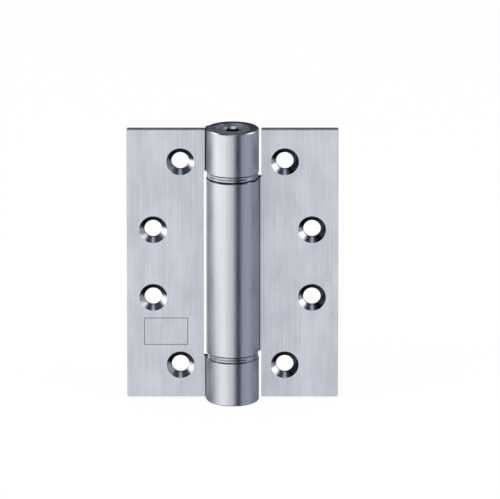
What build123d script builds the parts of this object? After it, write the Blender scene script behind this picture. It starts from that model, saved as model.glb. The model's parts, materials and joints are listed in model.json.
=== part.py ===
from build123d import *

import os
from math import asin, atan2, cos, degrees, floor, radians, sin, sqrt

# Spring hinge laid open flat. Z runs up the pin axis, X across the leaves and Y towards the
# hidden back. The origin is on the pin axis at mid height, and the countersunk faces look along -Y.
# All sizes are in millimetres.

# Leaves
leaf_height = 100.0
hinge_width = 76.2
leaf_thickness = 3.0
closed_gap = 1.2
leaf_corner_radius = 0.6
root_bend_radius = 1.5

# Rolled barrel
barrel_overhang = 0.8
barrel_diameter = 19.0
end_knuckle_length = 16.1
side_clearance = 0.85
seam_slit = 0.2
seam_edge_radius = 0.4
seam_crease = 0.5
rim_chamfer = 0.3
joint_chamfer = 0.25

# Screw holes
screw_hole_diameter = 6.3
countersink_diameter = 10.0
countersink_angle = 90.0
hole_end_margin = 11.95
outer_hole_margin = 9.5
inner_hole_margin = 9.3

# Thrust washers
washer_thickness = 1.0
washer_inset = 0.3
washer_chamfer = 0.2
washer_bore_clearance = 0.3
end_play = 0.3

# Bearings and plugs
bush_wall = 1.5
bush_length = 8.0
running_clearance = 0.05
fixed_clearance = 0.03
anchor_length = 11.0
cap_length = 4.5
end_recess = 0.3
plug_chamfer = 0.4

# Torsion spring
wire_width = 2.2
coil_gap = 1.3
spring_side_clearance = 0.5
tang_width = 2.0
tang_clearance = 0.15
tang_overreach = 2.4
spigot_length = 5.0
spigot_clearance = 0.3

# Tension adjustment
key_across_flats = 6.0
key_socket_depth = 8.0
socket_mouth_diameter = 7.0
socket_lead_in = 1.3
pin_diameter = 3.0
pin_clearance = 0.05
pin_hole_count = 6
pin_hole_depth = 3.6
pin_level_above_seat = 4.6
pin_rest_angle = 80.0
adjuster_travel = 60.0
window_clearance = 0.3
seat_clearance = 0.1
pin_end_recess = 0.2
pin_end_chamfer = 0.3

# Fixing of the anchor plug
anchor_pin_diameter = 3.0
anchor_pin_depth = 4.0
anchor_pin_angle = 90.0

# Worked out from the sizes above
outer_radius = barrel_diameter / 2
bore_radius = outer_radius - leaf_thickness
barrel_height = leaf_height + 2 * barrel_overhang
half_height = barrel_height / 2
half_leaf_height = leaf_height / 2
half_width = hinge_width / 2
face_y = closed_gap / 2
back_y = face_y + leaf_thickness
leaf_inner_x = outer_radius + side_clearance
knuckle_step_x = outer_radius + seam_slit
cut_margin = leaf_thickness

knuckle_inner_z = half_height - end_knuckle_length
barrel_bottom_z = 2 * washer_thickness - knuckle_inner_z
barrel_top_z = knuckle_inner_z - 2 * washer_thickness - end_play

bend_y = back_y + root_bend_radius
bend_x = sqrt((outer_radius + root_bend_radius) ** 2 - bend_y**2)
bend_angle = degrees(atan2(bend_y, bend_x))

outer_hole_x = half_width - outer_hole_margin
inner_hole_x = outer_radius + inner_hole_margin
end_hole_z = half_leaf_height - hole_end_margin
middle_hole_z = end_hole_z / 3

journal_radius = bore_radius - bush_wall
fixed_radius = bore_radius - fixed_clearance
spring_radius = bore_radius - spring_side_clearance
coil_radius = spring_radius - wire_width / 2
spigot_radius = spring_radius - wire_width - spigot_clearance
tang_slot_width = tang_width + 2 * tang_clearance

journal_end_z = barrel_top_z - bush_length
anchor_top_z = barrel_bottom_z + anchor_length
upper_tang_z = journal_end_z - tang_clearance - wire_width / 2
lower_tang_z = anchor_top_z + tang_clearance + wire_width / 2
coil_height = upper_tang_z - lower_tang_z
coil_turns = floor(coil_height / (wire_width + coil_gap))
coil_pitch = coil_height / coil_turns

adjuster_top_z = half_height - end_recess
adjuster_radius = bore_radius - running_clearance
pin_level_z = knuckle_inner_z + pin_level_above_seat
window_height = pin_diameter + 2 * window_clearance
anchor_pin_z = (barrel_bottom_z + anchor_top_z) / 2


def side_plane(angle, radius, height):
    # Plane on the side of the barrel, with its normal pointing straight out at the angle
    outwards = Vector(cos(radians(angle)), sin(radians(angle)), 0)
    return Plane(outwards * radius + Vector(0, 0, height), z_dir=outwards)


def axial_plane(angle):
    # Plane through the pin axis, with its x direction pointing straight out at the angle
    outwards = Vector(cos(radians(angle)), sin(radians(angle)), 0)
    return Plane((0, 0, 0), x_dir=outwards, z_dir=outwards.cross(Vector(0, 0, 1)))


def rolled_section(bottom_z):
    # Section of the right-hand plate: flat leaf, joggled root and a full roll that ends
    # at a thin seam against the leaf's own front face, in a crease pressed into that face
    seam_y = face_y - seam_slit
    outer_end = degrees(asin(seam_y / outer_radius))
    inner_end = degrees(asin(seam_y / bore_radius))
    outer_corner = (outer_radius * cos(radians(outer_end)), seam_y)
    inner_corner = (bore_radius * cos(radians(inner_end)), seam_y)
    full_turn = 360
    quarter_turn = 90
    bend_turn = quarter_turn - bend_angle
    with BuildSketch(Plane.XY.offset(bottom_z)) as section:
        with BuildLine():
            Polyline((bend_x, face_y), (half_width, face_y), (half_width, back_y), (bend_x, back_y))
            CenterArc((bend_x, bend_y), root_bend_radius, -quarter_turn, -bend_turn)
            CenterArc((0, 0), outer_radius, bend_angle, full_turn + outer_end - bend_angle)
            Line(outer_corner, inner_corner)
            CenterArc((0, 0), bore_radius, bend_angle, full_turn + inner_end - bend_angle)
            CenterArc(
                (bend_x, bend_y), root_bend_radius + leaf_thickness, -quarter_turn, -bend_turn
            )
        make_face()
        fillet(section.vertices().sort_by_distance(outer_corner)[0], seam_edge_radius)
        with BuildLine():
            Polyline(
                (outer_radius, face_y - seam_slit / 2),
                (outer_radius + seam_crease, face_y - seam_slit / 2),
                (outer_radius + seam_crease, face_y),
                (outer_radius, face_y + seam_crease),
                close=True,
            )
        make_face(mode=Mode.SUBTRACT)
    return section.sketch


def screw_holes(side):
    # Staggered rows: the end holes near the barrel and the middle holes near the outer edge
    places = [(inner_hole_x, end_hole_z), (outer_hole_x, middle_hole_z)]
    spots = [(side * x, face_y, level * z) for x, z in places for level in (-1, 1)]
    with Locations(*[Plane(spot, x_dir=(1, 0, 0), z_dir=(0, -1, 0)) for spot in spots]):
        CounterSinkHole(
            radius=screw_hole_diameter / 2,
            counter_sink_radius=countersink_diameter / 2,
            counter_sink_angle=countersink_angle,
        )


def outer_rims(part, levels):
    # Outer edges of the roll at the given heights
    rims = part.edges().filter_by(GeomType.CIRCLE)
    rims = rims.filter_by(lambda edge: abs(edge.radius - outer_radius) < seam_slit)
    return rims.filter_by(lambda edge: min(abs(edge.center().Z - z) for z in levels) < seam_slit)


# Left leaf: the roll is cut away in the middle and leaves a knuckle at each end, and the
# flat part is a little shorter than the barrel, with a step just outside the roll
with BuildPart() as frame_leaf:
    add(mirror(rolled_section(-half_height), about=Plane.YZ))
    extrude(amount=barrel_height)
    with BuildSketch(Plane.XZ.offset(-outer_radius - cut_margin)):
        for side, edge in ((1, Align.MIN), (-1, Align.MAX)):
            with Locations((-knuckle_step_x, side * half_leaf_height)):
                Rectangle(half_width, half_height, align=(Align.MAX, edge))
    extrude(amount=2 * (outer_radius + cut_margin), mode=Mode.SUBTRACT)
    fillet(
        frame_leaf.edges().filter_by(Axis.Y).group_by(Axis.X)[0],
        leaf_corner_radius,
    )
    with BuildSketch(Plane.XZ.offset(-outer_radius - cut_margin)):
        with Locations((-leaf_inner_x, 0)):
            Rectangle(
                leaf_inner_x + outer_radius + cut_margin,
                2 * knuckle_inner_z,
                align=(Align.MIN, Align.CENTER),
            )
    extrude(amount=2 * (outer_radius + cut_margin), mode=Mode.SUBTRACT)
    screw_holes(-1)
    # Window in the back of the top knuckle, in which the tension pin moves
    with BuildSketch(axial_plane(pin_rest_angle - adjuster_travel)):
        with Locations((outer_radius, pin_level_z)):
            Rectangle(2 * (leaf_thickness + fixed_clearance), window_height)
    revolve(axis=Axis.Z, revolution_arc=adjuster_travel, mode=Mode.SUBTRACT)
    window_ends = [pin_rest_angle - adjuster_travel, pin_rest_angle]
    with Locations(*[side_plane(angle, outer_radius, pin_level_z) for angle in window_ends]):
        Hole(window_height / 2, depth=outer_radius)
    chamfer(outer_rims(frame_leaf, (-half_height, half_height)), rim_chamfer)
    chamfer(outer_rims(frame_leaf, (-knuckle_inner_z, knuckle_inner_z)), joint_chamfer)
frame_leaf.part.label = "frame_leaf"

# Right leaf: the roll is cut away at both ends and leaves the long middle barrel
with BuildPart() as door_leaf:
    add(rolled_section(-half_leaf_height))
    extrude(amount=leaf_height)
    fillet(
        door_leaf.edges().filter_by(Axis.Y).group_by(Axis.X)[-1],
        leaf_corner_radius,
    )
    with BuildSketch(Plane.XZ.offset(-outer_radius - cut_margin)):
        with Locations((leaf_inner_x, barrel_top_z)):
            Rectangle(
                leaf_inner_x + outer_radius + cut_margin,
                half_height - barrel_top_z + cut_margin,
                align=(Align.MAX, Align.MIN),
            )
        with Locations((leaf_inner_x, barrel_bottom_z)):
            Rectangle(
                leaf_inner_x + outer_radius + cut_margin,
                half_height + barrel_bottom_z + cut_margin,
                align=(Align.MAX, Align.MAX),
            )
    extrude(amount=2 * (outer_radius + cut_margin), mode=Mode.SUBTRACT)
    screw_holes(1)
    with Locations(side_plane(anchor_pin_angle, outer_radius, anchor_pin_z)):
        Hole(anchor_pin_diameter / 2 + pin_clearance, depth=outer_radius)
    chamfer(outer_rims(door_leaf, (barrel_bottom_z, barrel_top_z)), joint_chamfer)
door_leaf.part.label = "door_leaf"


def thrust_washer(bottom_z):
    # Flat ring with broken outer edges, slightly smaller than the barrel
    with BuildPart() as washer:
        with BuildSketch(Plane.XY.offset(bottom_z)):
            Circle(outer_radius - washer_inset)
            Circle(journal_radius + washer_bore_clearance, mode=Mode.SUBTRACT)
        extrude(amount=washer_thickness)
        outer_edges = washer.edges().filter_by(GeomType.CIRCLE).group_by(SortBy.RADIUS)[-1]
        chamfer(outer_edges, washer_chamfer)
    return washer


washer_bottoms = {
    "upper_knuckle_washer": knuckle_inner_z - washer_thickness,
    "upper_barrel_washer": knuckle_inner_z - 2 * washer_thickness,
    "lower_barrel_washer": -knuckle_inner_z + washer_thickness,
    "lower_knuckle_washer": -knuckle_inner_z,
}


def bearing_bush(top_z):
    # Plain sleeve between a bore of the barrel and a journal
    with BuildPart() as bush:
        with BuildSketch(Plane.XY.offset(top_z - bush_length)):
            Circle(fixed_radius)
            Circle(journal_radius + running_clearance, mode=Mode.SUBTRACT)
        extrude(amount=bush_length)
    return bush


bush_tops = {"upper_bush": barrel_top_z, "lower_bush": -knuckle_inner_z}

# Adjuster: head in the top knuckle, journal through the washers, slotted spigot in the spring
with BuildPart() as adjuster:
    with BuildSketch(Plane.XZ):
        with BuildLine():
            Polyline(
                (0, adjuster_top_z),
                (adjuster_radius - plug_chamfer, adjuster_top_z),
                (adjuster_radius, adjuster_top_z - plug_chamfer),
                (adjuster_radius, knuckle_inner_z + seat_clearance),
                (journal_radius, knuckle_inner_z + seat_clearance),
                (journal_radius, journal_end_z),
                (spigot_radius, journal_end_z),
                (spigot_radius, journal_end_z - spigot_length),
                (0, journal_end_z - spigot_length),
                close=True,
            )
        make_face()
    revolve(axis=Axis.Z)
    with BuildSketch(Plane.XY.offset(adjuster_top_z)):
        RegularPolygon(key_across_flats / 2, side_count=6, major_radius=False)
    extrude(amount=-key_socket_depth, mode=Mode.SUBTRACT)
    with Locations((0, 0, adjuster_top_z)):
        Cone(
            key_across_flats / 2,
            socket_mouth_diameter / 2,
            socket_lead_in,
            align=(Align.CENTER, Align.CENTER, Align.MAX),
            mode=Mode.SUBTRACT,
        )
    pin_hole_angles = [pin_rest_angle + 360 * i / pin_hole_count for i in range(pin_hole_count)]
    with Locations(*[side_plane(a, adjuster_radius, pin_level_z) for a in pin_hole_angles]):
        Hole(pin_diameter / 2 + pin_clearance, depth=pin_hole_depth)
    with BuildSketch(Plane.XY.offset(journal_end_z - spigot_length)):
        Rectangle(2 * journal_radius, tang_slot_width)
    extrude(amount=spigot_length, mode=Mode.SUBTRACT)
adjuster.part.label = "adjuster"

# Tension pin: stands in one of the adjuster's holes and bears on the end of the window
pin_inner_radius = adjuster_radius - pin_hole_depth + pin_clearance
with BuildPart() as tension_pin:
    with BuildSketch(side_plane(pin_rest_angle, pin_inner_radius, pin_level_z)):
        Circle(pin_diameter / 2)
    extrude(amount=outer_radius - pin_end_recess - pin_inner_radius)
    chamfer(tension_pin.edges().filter_by(GeomType.CIRCLE), pin_end_chamfer)
tension_pin.part.label = "tension_pin"

# Torsion spring: left-hand coil of square wire, its ends drawn down and bent inwards as
# straight tangs that start from the middle of the wire
with BuildPart() as torsion_spring:
    with BuildLine() as coil:
        Helix(coil_pitch, coil_height, coil_radius, center=(0, 0, lower_tang_z), lefthand=True)
    with BuildSketch(Plane(coil.line @ 0, x_dir=(1, 0, 0), z_dir=coil.line % 0)):
        Rectangle(wire_width, wire_width)
    sweep(path=coil.line, is_frenet=True)
    for tang_z in (lower_tang_z, upper_tang_z):
        with Locations((coil_radius, 0, tang_z)):
            Box(
                coil_radius + tang_overreach,
                tang_width,
                tang_width,
                align=(Align.MAX, Align.CENTER, Align.CENTER),
            )
torsion_spring.part.label = "torsion_spring"

# Anchor plug: fixed in the barrel's lower end, with a slotted spigot above and the pintle below
with BuildPart() as anchor_plug:
    with BuildSketch(Plane.XZ):
        with BuildLine():
            Polyline(
                (0, anchor_top_z + spigot_length),
                (spigot_radius, anchor_top_z + spigot_length),
                (spigot_radius, anchor_top_z),
                (fixed_radius, anchor_top_z),
                (fixed_radius, barrel_bottom_z),
                (journal_radius, barrel_bottom_z),
                (journal_radius, -knuckle_inner_z - bush_length + plug_chamfer),
                (journal_radius - plug_chamfer, -knuckle_inner_z - bush_length),
                (0, -knuckle_inner_z - bush_length),
                close=True,
            )
        make_face()
    revolve(axis=Axis.Z)
    with BuildSketch(Plane.XY.offset(anchor_top_z)):
        Rectangle(2 * journal_radius, tang_slot_width)
    extrude(amount=spigot_length, mode=Mode.SUBTRACT)
    with Locations(side_plane(anchor_pin_angle, fixed_radius, anchor_pin_z)):
        Hole(anchor_pin_diameter / 2 + pin_clearance, depth=anchor_pin_depth)
anchor_plug.part.label = "anchor_plug"

# Anchor pin: dowel through the back of the barrel into the plug
anchor_pin_inner_radius = fixed_radius - anchor_pin_depth + pin_clearance
with BuildPart() as anchor_pin:
    with BuildSketch(side_plane(anchor_pin_angle, anchor_pin_inner_radius, anchor_pin_z)):
        Circle(anchor_pin_diameter / 2)
    extrude(amount=outer_radius - pin_end_recess - anchor_pin_inner_radius)
    chamfer(anchor_pin.edges().filter_by(GeomType.CIRCLE), pin_end_chamfer)
anchor_pin.part.label = "anchor_pin"

# Bottom cap: plug that closes the bottom knuckle
with BuildPart() as bottom_cap:
    with BuildSketch(Plane.XY.offset(end_recess - half_height)):
        Circle(fixed_radius)
    extrude(amount=cap_length)
    chamfer(bottom_cap.edges().group_by(Axis.Z)[0], plug_chamfer)
bottom_cap.part.label = "bottom_cap"

pieces = [
    frame_leaf,
    door_leaf,
    adjuster,
    tension_pin,
    torsion_spring,
    anchor_plug,
    anchor_pin,
    bottom_cap,
]
for name, bottom_z in washer_bottoms.items():
    washer = thrust_washer(bottom_z)
    washer.part.label = name
    pieces.append(washer)
for name, top_z in bush_tops.items():
    bush = bearing_bush(top_z)
    bush.part.label = name
    pieces.append(bush)

os.makedirs("parts", exist_ok=True)
for piece in pieces:
    export_step(piece.part, f"parts/{piece.part.label}.step")
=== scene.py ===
import json
from math import cos, radians, sin

import bpy
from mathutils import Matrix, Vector


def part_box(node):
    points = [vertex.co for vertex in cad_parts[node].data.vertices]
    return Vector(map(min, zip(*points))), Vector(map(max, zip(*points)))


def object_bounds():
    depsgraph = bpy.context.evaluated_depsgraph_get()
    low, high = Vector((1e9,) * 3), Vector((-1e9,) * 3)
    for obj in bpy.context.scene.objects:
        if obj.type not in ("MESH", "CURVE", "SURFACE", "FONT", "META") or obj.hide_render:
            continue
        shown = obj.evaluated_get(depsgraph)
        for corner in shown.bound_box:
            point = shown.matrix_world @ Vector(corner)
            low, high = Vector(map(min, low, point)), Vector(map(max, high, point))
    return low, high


mmPerMetre = 1000.0

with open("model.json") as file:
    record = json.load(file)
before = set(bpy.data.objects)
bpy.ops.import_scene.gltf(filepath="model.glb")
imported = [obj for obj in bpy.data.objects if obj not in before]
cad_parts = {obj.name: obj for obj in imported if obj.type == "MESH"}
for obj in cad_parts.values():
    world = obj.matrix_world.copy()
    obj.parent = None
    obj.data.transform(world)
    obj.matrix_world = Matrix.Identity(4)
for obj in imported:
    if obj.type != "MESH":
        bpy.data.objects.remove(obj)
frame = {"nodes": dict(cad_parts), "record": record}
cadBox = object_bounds()
scene = bpy.context.scene
scene.view_settings.view_transform = "Standard"
print("frame loaded:", len(frame["nodes"]), "nodes")


class Wire:  # one shader socket that takes part in sums
    def __init__(self, tree, socket=None):
        self.tree = tree
        self.socket = socket

    def add(self, kind, settings=None, sockets=None, out=0):  # any node: settings first, then sockets
        node = self.tree.nodes.new(kind)
        for name, value in (settings or {}).items():
            setattr(node, name, value)
        for key, value in (sockets or {}).items():
            if isinstance(value, Wire):
                self.tree.links.new(value.socket, node.inputs[key])
            else:
                node.inputs[key].default_value = value
        return Wire(self.tree, node.outputs[out] if len(node.outputs) else None)

    def outputs(self, *keys):  # outputs of the node that this socket belongs to
        return [Wire(self.tree, self.socket.node.outputs[key]) for key in keys]

    def parts(self):  # the three numbers of a vector
        return self.add("ShaderNodeSeparateXYZ", sockets={0: self}).outputs(0, 1, 2)

    def math(self, operation, *values):
        return self.add("ShaderNodeMath", {"operation": operation}, dict(enumerate(values)))

    def __add__(self, other):
        return self.math("ADD", self, other)

    def __radd__(self, other):
        return self.math("ADD", other, self)

    def __sub__(self, other):
        return self.math("SUBTRACT", self, other)

    def __rsub__(self, other):
        return self.math("SUBTRACT", other, self)

    def __mul__(self, other):
        return self.math("MULTIPLY", self, other)

    def __rmul__(self, other):
        return self.math("MULTIPLY", other, self)

    def __truediv__(self, other):
        return self.math("DIVIDE", self, other)

    def __rtruediv__(self, other):
        return self.math("DIVIDE", other, self)

    def __abs__(self):
        return self.math("ABSOLUTE", self)

    def most(self, other):  # the greater of the two
        return self.math("MAXIMUM", self, other)

    def rise(self, low, high):  # 0 below low, 1 above high, smooth between
        return self.add(
            "ShaderNodeMapRange",
            {"interpolation_type": "SMOOTHSTEP"},
            {"Value": self, "From Min": low, "From Max": high},
        )

    def fall(self, low, high):  # 1 below low, 0 above high, smooth between
        return 1 - self.rise(low, high)

    def band(self, centre, half, soft):  # 1 within half of the centre, 0 a soft edge further out
        return abs(self - centre).fall(half, half + soft)

    def blend(self, first, second):  # this value as the share of the second number
        return first + self * (second - first)

    def tint(self, first, second):  # this value as the share of the second colour
        return self.add("ShaderNodeMix", {"data_type": "RGBA"}, {0: self, 6: first, 7: second}, out=2)


def rgb(red, green, blue):
    return (red, green, blue, 1.0)


def distance(first, second):  # from two sides at right angles
    return first.math("SQRT", first * first + second * second)


def rayKinds(start):  # whether a ray comes from the camera, off metal or through something clear
    names = ("Is Camera Ray", "Is Glossy Ray", "Is Transmission Ray")
    return start.add("ShaderNodeLightPath").outputs(*names)


def newMaterial(name):
    material = bpy.data.materials.new(name)
    material.use_nodes = True
    material.node_tree.nodes.clear()
    return material, Wire(material.node_tree)


# Camera at the photo's angle: a long lens from far off, aimed a little right of and above the
# middle of the hinge
cameraSet = {
    "elevation": 16.0,       # degrees above the floor
    "distance": 3.5,
    "frameWidth": 0.18014,   # metres of the object plane across the picture
    "sensor": 36.0,
    "aimRight": 0.00627,
    "aimUp": 0.00525,
    "nearest": 0.1,
    "furthest": 50.0,
}


def makeCamera(values):
    tilt = radians(values["elevation"])
    towards = Vector((0, -cos(tilt), sin(tilt)))
    upwards = Vector((0, sin(tilt), cos(tilt)))
    middle = (cadBox[0] + cadBox[1]) / 2
    aim = middle + Vector((values["aimRight"], 0, 0)) + upwards * values["aimUp"]
    data = bpy.data.cameras.new("camera")
    data.sensor_width = values["sensor"]
    data.lens = values["sensor"] * values["distance"] / values["frameWidth"]
    data.clip_start = values["nearest"]
    data.clip_end = values["furthest"]
    camera = bpy.data.objects.new("camera", data)
    camera.location = aim + towards * values["distance"]
    camera.rotation_mode = "QUATERNION"
    camera.rotation_quaternion = (-towards).to_track_quat("-Z", "Y")
    scene.collection.objects.link(camera)
    scene.camera = camera


makeCamera(cameraSet)
print("camera set")


# Studio walls in degrees, which only metal sees: the camera sees plain white, and matt surfaces an
# even light. Azimuth 0 is towards the camera and grows to the right. The walls lie below the
# horizon, where upright faces look, and the panels above it.
studio = {
    "white": 1.0,            # what the camera sees behind the hinge
    "ambient": 0.8,          # what matt surfaces gather from the walls
    "back": 0.80,            # level of the wall behind the hinge
    "walls": {               # each takes over from the last one between two azimuths, up to its level
        "backLeft": {"start": -180, "full": -145, "level": 0.48},
        "left": {"start": -112, "full": -40, "level": 1.36},
        "front": {"start": -42, "full": -8, "level": 1.00},
        "darkFlag": {"start": -6, "full": 24, "level": 0.02},    # beside the camera
        "right": {"start": 27, "full": 46, "level": 0.55},
        "farRight": {"start": 66, "full": 140, "level": 0.27},
        "backRight": {"start": 145, "full": 180, "level": 0.80},
    },
    "foot": {"low": -21.5, "high": -17.0, "share": 0.82},    # the walls are darker near the floor
    # Dark ground close behind the hinge, placed by the parts of a ray's heading
    "pit": {"depth": 0.12, "half": 0.30, "soft": 0.08, "low": -0.50, "high": -0.36, "level": 0.02},
    "horizon": -8.0,
    "horizonSoft": 3.0,
    "highLevel": 0.05,       # between the panels
    "panels": {              # low and top are elevations, between which a panel is full
        "frontLeft": {"azimuth": -40, "half": 18, "soft": 12, "low": 0, "top": 18, "fade": 12, "level": 1.6},
        "left": {"azimuth": -92, "half": 24, "soft": 14, "low": -8, "top": 1, "fade": 26, "level": 0.85},
        "right": {"azimuth": 90, "half": 24, "soft": 10, "low": 2, "top": 42, "fade": 12, "level": 1.25},
        "overCamera": {"azimuth": 0, "half": 9, "soft": 9, "low": 24, "top": 32, "fade": 4, "level": 2.2},
        "back": {"azimuth": 180, "half": 40, "soft": 30, "low": 4, "top": 24, "fade": 10, "level": 0.12},
        "rimLeft": {"azimuth": -113, "half": 14, "soft": 12, "low": 36, "top": 50, "fade": 8, "level": 1.6},
        "rimRight": {"azimuth": 113, "half": 14, "soft": 12, "low": 36, "top": 50, "fade": 8, "level": 1.0},
    },
    # Strip of light overhead, from the front to above the hinge
    "roof": {"half": 0.08, "soft": 0.14, "height": (0.5, 0.8), "depth": (-0.1, 0.0), "level": 0.40},
    "shade": rgb(0.72, 0.86, 1.20),    # tint of the dark walls
    "bright": 1.0,           # level from which the walls are neutral
}


def wallLevels(values, azimuth, elevation, depth, height):
    level = values["back"]
    for wall in values["walls"].values():
        level = azimuth.rise(wall["start"], wall["full"]).blend(level, wall["level"])
    foot, pit = values["foot"], values["pit"]
    level = level * elevation.rise(foot["low"], foot["high"]).blend(foot["share"], 1.0)
    under = height.fall(pit["low"], pit["high"]) * depth.band(pit["depth"], pit["half"], pit["soft"])
    return under.blend(level, pit["level"])


def panelLevels(values, azimuth, elevation):
    level = values["highLevel"]
    for panel in values["panels"].values():
        turn = abs(azimuth) if panel["azimuth"] == 180 else azimuth    # both ends meet at the back
        middle = (panel["low"] + panel["top"]) / 2
        shape = turn.band(panel["azimuth"], panel["half"], panel["soft"])
        shape = shape * elevation.band(middle, panel["top"] - middle, panel["fade"])
        level = shape * panel["level"] + level
    return level


def roofLevel(roof, across, depth, height):
    shape = across.band(0, roof["half"], roof["soft"])
    return shape * height.rise(*roof["height"]) * depth.fall(*roof["depth"]) * roof["level"]


def makeWorld(values):
    world = bpy.data.worlds.new("studio")
    world.use_nodes = True
    world.node_tree.nodes.clear()
    start = Wire(world.node_tree)
    across, depth, height = start.add("ShaderNodeTexCoord", out=0).parts()
    degree = radians(1)
    azimuth = start.math("ARCTAN2", across, 0 - depth) / degree
    elevation = start.math("ARCSINE", height) / degree
    low = wallLevels(values, azimuth, elevation, depth, height)
    high = panelLevels(values, azimuth, elevation) + roofLevel(values["roof"], across, depth, height)
    horizon, soft = values["horizon"], values["horizonSoft"]
    walls = elevation.rise(horizon - soft, horizon + soft).blend(low, high)
    seen, glossy, through = rayKinds(start)
    level = seen.most(through).blend(glossy.blend(values["ambient"], walls), values["white"])
    neutral = rgb(1, 1, 1)
    tint = level.rise(0.0, values["bright"]).tint(values["shade"], neutral)
    light = start.add(
        "ShaderNodeBackground", sockets={"Color": glossy.tint(neutral, tint), "Strength": level}
    )
    start.add("ShaderNodeOutputWorld", sockets={"Surface": light})
    scene.world = world


makeWorld(studio)


lamps = {
    "left": {"place": (-0.9, -0.5, 0.9), "size": 0.8, "power": 9.0},
    "right": {"place": (0.9, -0.4, 0.8), "size": 0.8, "power": 5.0},
}


def makeLamp(name, values):
    data = bpy.data.lights.new(name, "AREA")
    data.shape = "SQUARE"
    data.size = values["size"]
    data.energy = values["power"]
    lamp = bpy.data.objects.new(name, data)
    lamp.location = values["place"]
    lamp.rotation_mode = "QUATERNION"
    lamp.rotation_quaternion = (-lamp.location).to_track_quat("-Z", "Y")
    lamp.visible_glossy = False    # the studio walls already hold the panels
    scene.collection.objects.link(lamp)


for lampName, lampValues in lamps.items():
    makeLamp(lampName, lampValues)


def makeBoard(name, corners, material):  # one flat piece of the studio with four corners
    mesh = bpy.data.meshes.new(name)
    mesh.from_pydata(corners, [], [(0, 1, 2, 3)])
    mesh.materials.append(material)
    board = bpy.data.objects.new(name, mesh)
    scene.collection.objects.link(board)
    return board


floorSet = {
    "half": 4.0,
    "colour": rgb(0.92, 0.92, 0.92),
    "glow": 0.94,            # share of plain white, so that only a faint shadow shows
    "white": 1.0,
}


def makeFloor(values):
    material, start = newMaterial("pale_floor")
    seen, glossy, through = rayKinds(start)
    matt = start.add("ShaderNodeBsdfDiffuse", sockets={"Color": values["colour"]})
    glow = start.add("ShaderNodeEmission", sockets={"Strength": values["white"]})
    share = seen.most(glossy).most(through) * values["glow"]
    both = start.add("ShaderNodeMixShader", sockets={0: share, 1: matt, 2: glow})
    start.add("ShaderNodeOutputMaterial", sockets={"Surface": both})
    half = values["half"]
    level = cadBox[0].z
    corners = [(-half, -half, level), (half, -half, level), (half, half, level), (-half, half, level)]
    floor = makeBoard("floor", corners, material)
    floor.visible_glossy = False   # upright metal faces look at the studio walls instead


makeFloor(floorSet)


# Light card beside the left leaf, which only metal sees: its glow grows upwards, fades out at the
# top and is clear at the upright edges
card = {
    "azimuth": -84.0,
    "distance": 0.20,
    "half": 0.15,
    "edge": 0.10,            # width of its soft upright edges
    "low": -0.10,            # heights where its glow starts, is full, begins to fade and ends
    "high": -0.014,
    "fade": 0.03,
    "top": 0.08,
    "share": 0.34,           # how far the card hides the wall behind it where it is full
    "level": 2.4,
}


def makeCard(values):
    turn = radians(values["azimuth"])
    half, low, top = values["half"], values["low"], values["top"]
    material, start = newMaterial("light_card")
    across, depth, height = start.add("ShaderNodeTexCoord", out=3).parts()
    sideways = abs(across * cos(turn) + depth * sin(turn))
    shape = sideways.fall(half - values["edge"], half) * height.fall(values["fade"], top)
    ramp = start.add("ShaderNodeMapRange", sockets={
        "Value": height, "From Min": low, "From Max": values["high"], "To Max": values["share"]})
    clear = start.add("ShaderNodeBsdfTransparent")
    light = start.add("ShaderNodeEmission", sockets={"Strength": values["level"]})
    both = start.add("ShaderNodeMixShader", sockets={0: shape * ramp, 1: clear, 2: light})
    start.add("ShaderNodeOutputMaterial", sockets={"Surface": both})
    outward = Vector((sin(turn), -cos(turn), 0)) * values["distance"]
    along = Vector((cos(turn), sin(turn), 0)) * half
    corners = [(outward + along * side)[:2] + (end,) for side, end in (
        (-1, low), (1, low), (1, top), (-1, top))]
    board = makeBoard("light_card", corners, material)
    for kind in ("camera", "diffuse", "transmission", "shadow", "volume_scatter"):
        setattr(board, "visible_" + kind, False)


makeCard(card)
print("studio ready")


def endHeight(node, end):  # height of a node's lower (0) or upper (1) end
    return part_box(node)[end].z * mmPerMetre


# Sizes in millimetres that the finishes follow, from the frame. The pin axis is at x = y = 0.
mounts = {mount["name"]: mount for mount in frame["record"]["mounts"]}
leafReach = cadBox[1].x * mmPerMetre    # from the pin to a leaf's outer edge
leafTop = endHeight("door_leaf", 1)
leafBack = mounts["door_leaf_back"]["pos_m"][1] * mmPerMetre
leafThickness = 3.0    # the frame gives no place for the front
leafFront = leafBack - leafThickness
rollRadius = cadBox[1].y * mmPerMetre
boreRadius = mounts["door_leaf_end_holes"]["dims"]["hole_r_mm"]
socketTop = endHeight("adjuster", 1)


def holePlaces():  # screw hole centres of one leaf's upper half, x and z without sign
    found = []
    for name in ("door_leaf_end_holes", "door_leaf_middle_holes"):
        mount = mounts[name]
        found.append((mount["pos_m"][0] * mmPerMetre, mount["dims"]["spacing_y_mm"] / 2))
    return found


def places(start):  # place on the object in millimetres
    spot = start.add("ShaderNodeTexCoord", out=3)
    return start.add("ShaderNodeVectorMath", {"operation": "SCALE"}, {0: spot, "Scale": mmPerMetre})


def noise(spot, stretch, detail=2.0):  # stretch is how many grains to a millimetre each way
    scaled = spot.add("ShaderNodeVectorMath", {"operation": "MULTIPLY"}, {0: spot, 1: stretch})
    return spot.add("ShaderNodeTexNoise", sockets={"Vector": scaled, "Scale": 1.0, "Detail": detail})


def relief(height, depth):  # depth in millimetres
    sockets = {"Height": height, "Distance": depth / mmPerMetre, "Strength": 1.0}
    return height.add("ShaderNodeBump", sockets=sockets)


def finishMaterial(start, colour, roughness, bump, **others):
    sockets = {"Base Color": colour, "Roughness": roughness, "Normal": bump}
    sockets.update({name.title(): value for name, value in others.items()})
    shader = start.add("ShaderNodeBsdfPrincipled", sockets=sockets)
    start.add("ShaderNodeOutputMaterial", sockets={"Surface": shader})


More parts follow.
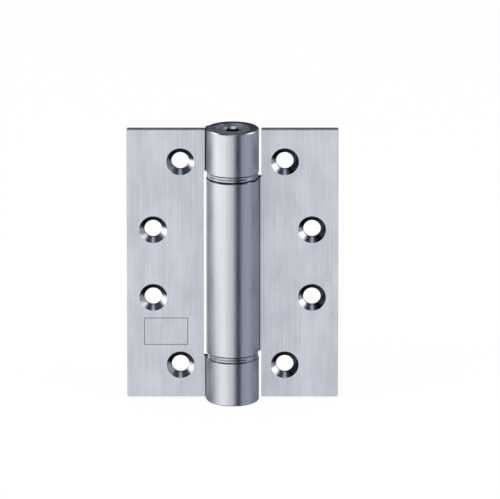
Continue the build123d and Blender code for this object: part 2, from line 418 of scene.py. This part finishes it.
# Brushing that runs over both leaves and their rolls
brushing = {
    "grain": (5.5, 5.5, 0.09),       # how many to a millimetre each way, long upwards
    "grainDetail": 3.0,
    "streaks": (1.3, 1.3, 0.04),
    "clouds": (0.13, 0.13, 0.06),
    "shares": (0.16, 0.28, 0.56),    # of grain, streaks and clouds in the tone
    "contrast": (0.35, 0.65),        # sums at which the tone is dark and light
    "roughness": 0.06,               # how much rougher the light tone is
    "depth": 0.0009,
    "anisotropic": 0.55,
}


def brushedTone(spot, values):  # the grain by itself, and the tone from dark (0) to light (1)
    grain = noise(spot, values["grain"], values["grainDetail"])
    streaks = noise(spot, values["streaks"])
    clouds = noise(spot, values["clouds"])
    ofGrain, ofStreaks, ofClouds = values["shares"]
    total = grain * ofGrain + streaks * ofStreaks + clouds * ofClouds
    return grain, total.rise(*values["contrast"])


polishedSteel = rgb(0.80, 0.81, 0.84)

# Colour of painted shade: each shade is a share of it. On the roll, its ends and one side of each
# countersink the shades are painted reflections of dark surroundings, so they stay put in every view.
paintedShadeColour = rgb(0.095, 0.095, 0.10)

# How far a face looks up or down, from 0 when it is upright to 1 when it is level
facing = {
    "upright": (0.3, 0.6),
    "chamfer": {"centre": 0.707, "half": 0.12, "soft": 0.08},
    "level": (0.8, 0.95),
}

# What differs between the leaves: heights of the roll's ends that face the washers, the side that
# the leaf is on, the heights between which the painted shade in the seam thickens, how much painted
# shade the roll has left and right level with the pin, and which way the painted dark reflection in
# a countersink lies (x and z) and how far round it goes
joints = {
    "frame_leaf": {
        "ends": (endHeight("upper_knuckle_washer", 1), endHeight("lower_knuckle_washer", 0)),
        "side": -1,
        "seam": (-70, 60),
        "flankShade": (0.55, 0.30),
        "dullWay": (0.0, 1.0),
        "dullTurn": (-0.05, 0.35),
    },
    "door_leaf": {
        "ends": (endHeight("upper_bush", 1), endHeight("lower_barrel_washer", 1)),
        "side": 1,
        "seam": (10, 110),
        "flankShade": (0.15, 0.04),
        "dullWay": (0.7, 0.7),
        "dullTurn": (-0.6, -0.25),
    },
}

leaf = {
    "light": rgb(0.835, 0.842, 0.906),
    "dark": rgb(0.655, 0.665, 0.722),
    "metallic": 0.80,        # the satin scatters a little light as well
    "roughness": 0.30,
    "edgeRoughness": 0.55,
    "edgeShade": 0.74,       # painted shade on the sheared edges, above and below
    "outerShade": 0.40,      # and at the outer side
    "outerDepth": (0.06, 0.02),
    "arrisShade": 0.30,      # and along the top arris
    "arrisDepth": (0.45, 0.15),
}


# Painted shade on a leaf's sheared edges, outer side and top arris
def leafShade(values, z, sheared, outer, bare):
    start, full = values["arrisDepth"]
    arris = z.rise(leafTop - start, leafTop - full) * (1 - bare)
    shade = (sheared * values["edgeShade"]).most(outer * values["outerShade"])
    return shade.most(arris * values["arrisShade"])


roll = {
    "light": rgb(0.606, 0.620, 0.655),
    "dark": rgb(0.560, 0.574, 0.614),
    "margin": 0.12,          # how far outside the roll its finish ends
    "soft": 0.05,
    "roughness": 0.22,
    "sideRoughness": 0.42,
    "sides": (6.0, 9.0),     # distances from the pin between which it grows rougher and takes painted shade
    "leftToRight": (-1, 1),
    "sideShade": (0.60, 0.16),       # painted shade there, left and right
    "flank": {"half": 2.6, "soft": 0.6},    # stretch level with the pin, which has its own painted shade
    "capShade": (0.10, 1.00),        # painted shade on its ends, from the front left to the back right
    "capLean": 0.5,          # how much x counts beside y on the way from one to the other
    "capTurn": (-11, 5),
    "rimShade": 0.90,        # and on the back of the shiny chamfers round them
    "rimTurn": (0, 4),       # places in y between which that back begins
    "oil": {"half": 0.25, "soft": 0.08, "shade": 0.7},    # painted shade: a dark line in the chamfer next to a washer
    "seam": {"inset": 0.1, "half": 0.4, "soft": 0.1, "depth": (1.3, 1.5)},    # painted shade in the crease of the seam, which ends behind this depth
}


def rollShade(values, joint, place, onRoll, sides, rim, caps):
    x, y, z = place
    right = x.rise(*values["leftToRight"])
    flank = y.band(0, values["flank"]["half"], values["flank"]["soft"])
    sideShade = flank.blend(right.blend(*values["sideShade"]), right.blend(*joint["flankShade"]))
    capTurn = (y + x * values["capLean"]).rise(*values["capTurn"])
    shade = onRoll * (sides * sideShade).most(caps * capTurn.blend(*values["capShade"]))
    shade = shade.most(rim * y.rise(*values["rimTurn"]) * values["rimShade"])
    # Painted shade: dark lines in the chamfers next to the washers
    oil = values["oil"]
    for end in joint["ends"]:
        shade = shade.most(onRoll * z.band(end, oil["half"], oil["soft"]) * oil["shade"])
    # Painted shade in the crease of the seam, thickening with height
    seam = values["seam"]
    crease = (x * joint["side"]).band(rollRadius - seam["inset"], seam["half"], seam["soft"])
    return shade.most(crease * y.fall(*seam["depth"]) * z.rise(*joint["seam"]))


countersink = {
    "radius": 5.0,
    "margin": 0.02,          # how far outside the cone its finish ends
    "soft": 0.03,
    "backMargin": (0.10, 0.02),      # and how far from the back of the leaf
    # Painted dark reflection on one side of each cone
    "dull": rgb(0.055, 0.058, 0.068),
    "dullSoft": 0.1,
    "roughness": 0.16,
    "dish": 0.124,           # how much flatter than its shape the cone looks, rise to run
    "boreShade": 0.85,       # painted shade in the bore behind the cone
    "boreSoft": (0.10, 0.05),
}


def countersinkMasks(values, joint, place):  # inside a countersink, its dished depth, its side with a painted dark reflection
    x, y, z = place
    edge = values["radius"] + values["margin"]
    wayX, wayZ = joint["dullWay"]
    inside = dish = paintedDarkSide = 0.0
    for holeX, holeZ in holePlaces():
        sideways = abs(x) - holeX
        upwards = abs(z) - holeZ
        reach = distance(sideways, upwards)
        inside = reach.fall(edge - values["soft"], edge + values["soft"]) + inside
        dish = (edge - reach).most(0.0) + dish
        toRight = sideways * joint["side"]
        toTop = upwards * z.math("SIGN", z)
        along = (toRight * wayX + toTop * wayZ) / reach
        # Painted dark reflection, on the side that the joint gives
        paintedDarkSide = reach.fall(edge, edge + values["dullSoft"]) * along.rise(*joint["dullTurn"]) + paintedDarkSide
    start, full = values["backMargin"]
    front = y.fall(leafBack - start, leafBack - full)    # the backs of the leaves have no countersinks
    return inside * front, dish * front, paintedDarkSide


def boreShade(values, y, sink):
    coneDepth = values["radius"] - boreRadius    # of a cone of 90 degrees
    before, after = values["boreSoft"]
    bottom = leafFront + coneDepth
    return sink * y.rise(bottom - before, bottom + after) * values["boreShade"]


# Bare frame etched in the left leaf, with a painted highlight in a line round it
etching = {
    "low": (-31.85, -30.4),  # corners, x and z in millimetres
    "high": (-16.2, -20.4),
    "line": 0.17,            # half the width of the line
    "soft": 0.06,
    "dark": rgb(0.30, 0.31, 0.35),
    "darkShare": 0.85,
    "roughness": 0.5,
    "lipPlace": 0.408,       # from the middle of the line
    "lipSoft": 0.12,
    "light": rgb(0.93, 0.935, 0.97),
    "lightShare": 0.35,
    "depth": (0.4, 0.5),     # behind the front of the leaf, where it ends
}


def etchFrame(values, place, colour, rough):
    x, y, z = place
    corners = list(zip(values["low"], values["high"]))
    middleX, middleZ = ((low + high) / 2 for low, high in corners)
    halfX, halfZ = ((high - low) / 2 for low, high in corners)
    outward = (abs(x - middleX) - halfX).most(abs(z - middleZ) - halfZ)
    onFront = y.fall(*(leafFront + depth for depth in values["depth"]))
    line = outward.band(0, values["line"], values["soft"]) * onFront
    # Painted highlight in a line beside the etched one
    lip = outward.band(values["lipPlace"], values["line"], values["lipSoft"]) * onFront
    colour = (lip * values["lightShare"]).tint(colour, values["light"])
    colour = (line * values["darkShare"]).tint(colour, values["dark"])
    return colour, line.blend(rough, values["roughness"])


def makeSatin(name, joint, etched=None):
    material, start = newMaterial(name)
    spot = places(start)
    place = spot.parts()
    x, y, z = place
    level = abs(start.add("ShaderNodeNewGeometry", out=1).parts()[2])
    grain, tone = brushedTone(spot, brushing)

    # Where each finish lies
    edge = rollRadius + roll["margin"]
    onRoll = distance(x, y).fall(edge - roll["soft"], edge + roll["soft"])
    sink, dish, paintedDarkSide = countersinkMasks(countersink, joint, place)
    bare = onRoll.most(sink)    # bright metal instead of satin
    caps = level.rise(*facing["level"])
    rim = onRoll * level.band(**facing["chamfer"])
    sides = abs(x).rise(*roll["sides"]) * level.fall(*facing["upright"])
    sheared = caps * (1 - bare)
    outer = abs(x).rise(*(leafReach - depth for depth in leaf["outerDepth"]))

    leafColour = tone.tint(leaf["dark"], leaf["light"])
    rollColour = rim.tint(tone.tint(roll["dark"], roll["light"]), polishedSteel)
    sinkColour = paintedDarkSide.tint(polishedSteel, countersink["dull"])
    colour = sink.tint(onRoll.tint(leafColour, rollColour), sinkColour)
    # Painted shade and painted dark reflections, mixed towards the shade colour
    shade = rollShade(roll, joint, place, onRoll, sides, rim, caps)
    shade = shade.most(leafShade(leaf, z, sheared, outer, bare)).most(boreShade(countersink, y, sink))
    colour = shade.tint(colour, paintedShadeColour)

    rough = onRoll.blend(leaf["roughness"], sides.blend(roll["roughness"], roll["sideRoughness"]))
    rough = rough + (tone - 0.5) * brushing["roughness"]
    rough = sink.blend(rough, countersink["roughness"])
    rough = sheared.most(outer).blend(rough, leaf["edgeRoughness"])
    height = grain * (1 - sink) + dish * (countersink["dish"] / brushing["depth"])
    if etched:
        colour, rough = etchFrame(etched, place, colour, rough)
    finishMaterial(
        start, colour, rough, relief(height, brushing["depth"]),
        metallic=bare.blend(leaf["metallic"], 1.0), anisotropic=brushing["anisotropic"],
    )
    return material


turned = {
    "light": rgb(0.69, 0.70, 0.73),
    "dark": rgb(0.55, 0.56, 0.59),
    "ringsPerMm": 5.0,
    "roughness": 0.40,
    "roughnessSpread": 0.12,
    "depth": 0.0015,
}

washer = {
    "light": rgb(0.52, 0.535, 0.58),
    "dark": rgb(0.40, 0.415, 0.46),
    "ringsPerMm": 7.0,
    "roughness": 0.20,
    "roughnessSpread": 0.08,
    "depth": 0.0015,
}

# What the turned pieces and the washers share: tool marks round the pin axis, with smears over them
toolMarks = {
    "smears": (0.6, 0.6, 0.6),
    "shares": (0.7, 0.3),    # of marks and smears in the tone
    "contrast": (0.3, 0.7),
    "anisotropic": 0.3,
}

# The key socket has painted shade deep inside, a grey mouth and a painted highlight across its middle
keySocket = {
    "radius": 3.55,
    "radiusSoft": 0.1,
    "depth": 10.5,
    "depthSoft": 1.0,
    "deep": rgb(0.014, 0.014, 0.018),
    "lipDepth": 0.9,
    "lipSoft": 0.1,
    "lip": rgb(0.32, 0.325, 0.34),
    "polished": {"centre": 0.2, "half": 0.5, "soft": 0.8},    # painted highlight, where it lies in x
}


def socketColour(values, x, z, radius, colour):
    bottom = socketTop - values["depth"]
    mouth = socketTop - values["lipDepth"]
    hollow = radius.fall(values["radius"] - values["radiusSoft"], values["radius"])
    hollow = hollow * z.rise(bottom, bottom + values["depthSoft"])
    # Painted highlight across the mouth, painted shade deep inside
    lip = x.band(**values["polished"]).tint(values["lip"], polishedSteel)
    inside = z.rise(mouth - values["lipSoft"], mouth + values["lipSoft"]).tint(values["deep"], lip)
    return hollow.tint(colour, inside)


def makeTurned(name, values, socket=None):
    material, start = newMaterial(name)
    spot = places(start)
    x, y, z = spot.parts()
    radius = distance(x, y)
    profile = start.add("ShaderNodeCombineXYZ", sockets={0: radius, 1: z})
    marks = noise(profile, (values["ringsPerMm"], values["ringsPerMm"], 1.0))
    smears = noise(spot, toolMarks["smears"])
    ofMarks, ofSmears = toolMarks["shares"]
    tone = (marks * ofMarks + smears * ofSmears).rise(*toolMarks["contrast"])
    colour = tone.tint(values["dark"], values["light"])
    if socket:
        colour = socketColour(socket, x, z, radius, colour)
    rough = values["roughness"] + (tone - 0.5) * values["roughnessSpread"]
    finishMaterial(
        start, colour, rough, relief(marks, values["depth"]),
        metallic=1.0, anisotropic=toolMarks["anisotropic"],
    )
    return material


pin = {
    "light": rgb(0.62, 0.63, 0.66),
    "dark": rgb(0.50, 0.51, 0.54),
    "grain": (1.2, 1.2, 6.0),
    "detail": 3.0,
    "contrast": (0.3, 0.7),
    "roughness": 0.24,
    "roughnessSpread": 0.15,
    "depth": 0.003,
    "metallic": 1.0,
}

springWire = {
    "light": rgb(0.33, 0.32, 0.32),
    "dark": rgb(0.17, 0.165, 0.18),
    "grain": (1.6, 1.6, 2.4),
    "detail": 3.0,
    "contrast": (0.3, 0.7),
    "roughness": 0.36,
    "roughnessSpread": 0.15,
    "depth": 0.006,
    "metallic": 1.0,
}

nylon = {
    "light": rgb(0.82, 0.81, 0.77),
    "dark": rgb(0.74, 0.73, 0.68),
    "grain": (1.4, 1.4, 1.4),
    "detail": 4.0,
    "contrast": (0.3, 0.7),
    "roughness": 0.48,
    "roughnessSpread": 0.1,
    "depth": 0.01,
    "metallic": 0.0,
}


def makeGrained(name, values):
    material, start = newMaterial(name)
    grain = noise(places(start), values["grain"], values["detail"])
    tone = grain.rise(*values["contrast"])
    colour = tone.tint(values["dark"], values["light"])
    rough = values["roughness"] + (tone - 0.5) * values["roughnessSpread"]
    finishMaterial(start, colour, rough, relief(grain, values["depth"]), metallic=values["metallic"])
    return material


def dressNodes():
    leafMaterials = {
        "frame_leaf": makeSatin("satin_steel_frame", joints["frame_leaf"], etching),
        "door_leaf": makeSatin("satin_steel_door", joints["door_leaf"]),
    }
    bySlot = {
        "washer_steel": makeTurned("washer_steel", washer),
        "turned_steel": makeTurned("turned_steel", turned, keySocket),
        "pin_steel": makeGrained("pin_steel", pin),
        "spring_wire": makeGrained("spring_wire", springWire),
        "bush_nylon": makeGrained("bush_nylon", nylon),
    }
    for subpart in frame["record"]["subparts"]:
        name = subpart["node"]
        node = frame["nodes"][name]
        node.data.materials.clear()
        node.data.materials.append(leafMaterials.get(name) or bySlot[subpart["material_slot"]])


dressNodes()
print("materials on", len(frame["nodes"]), "nodes")
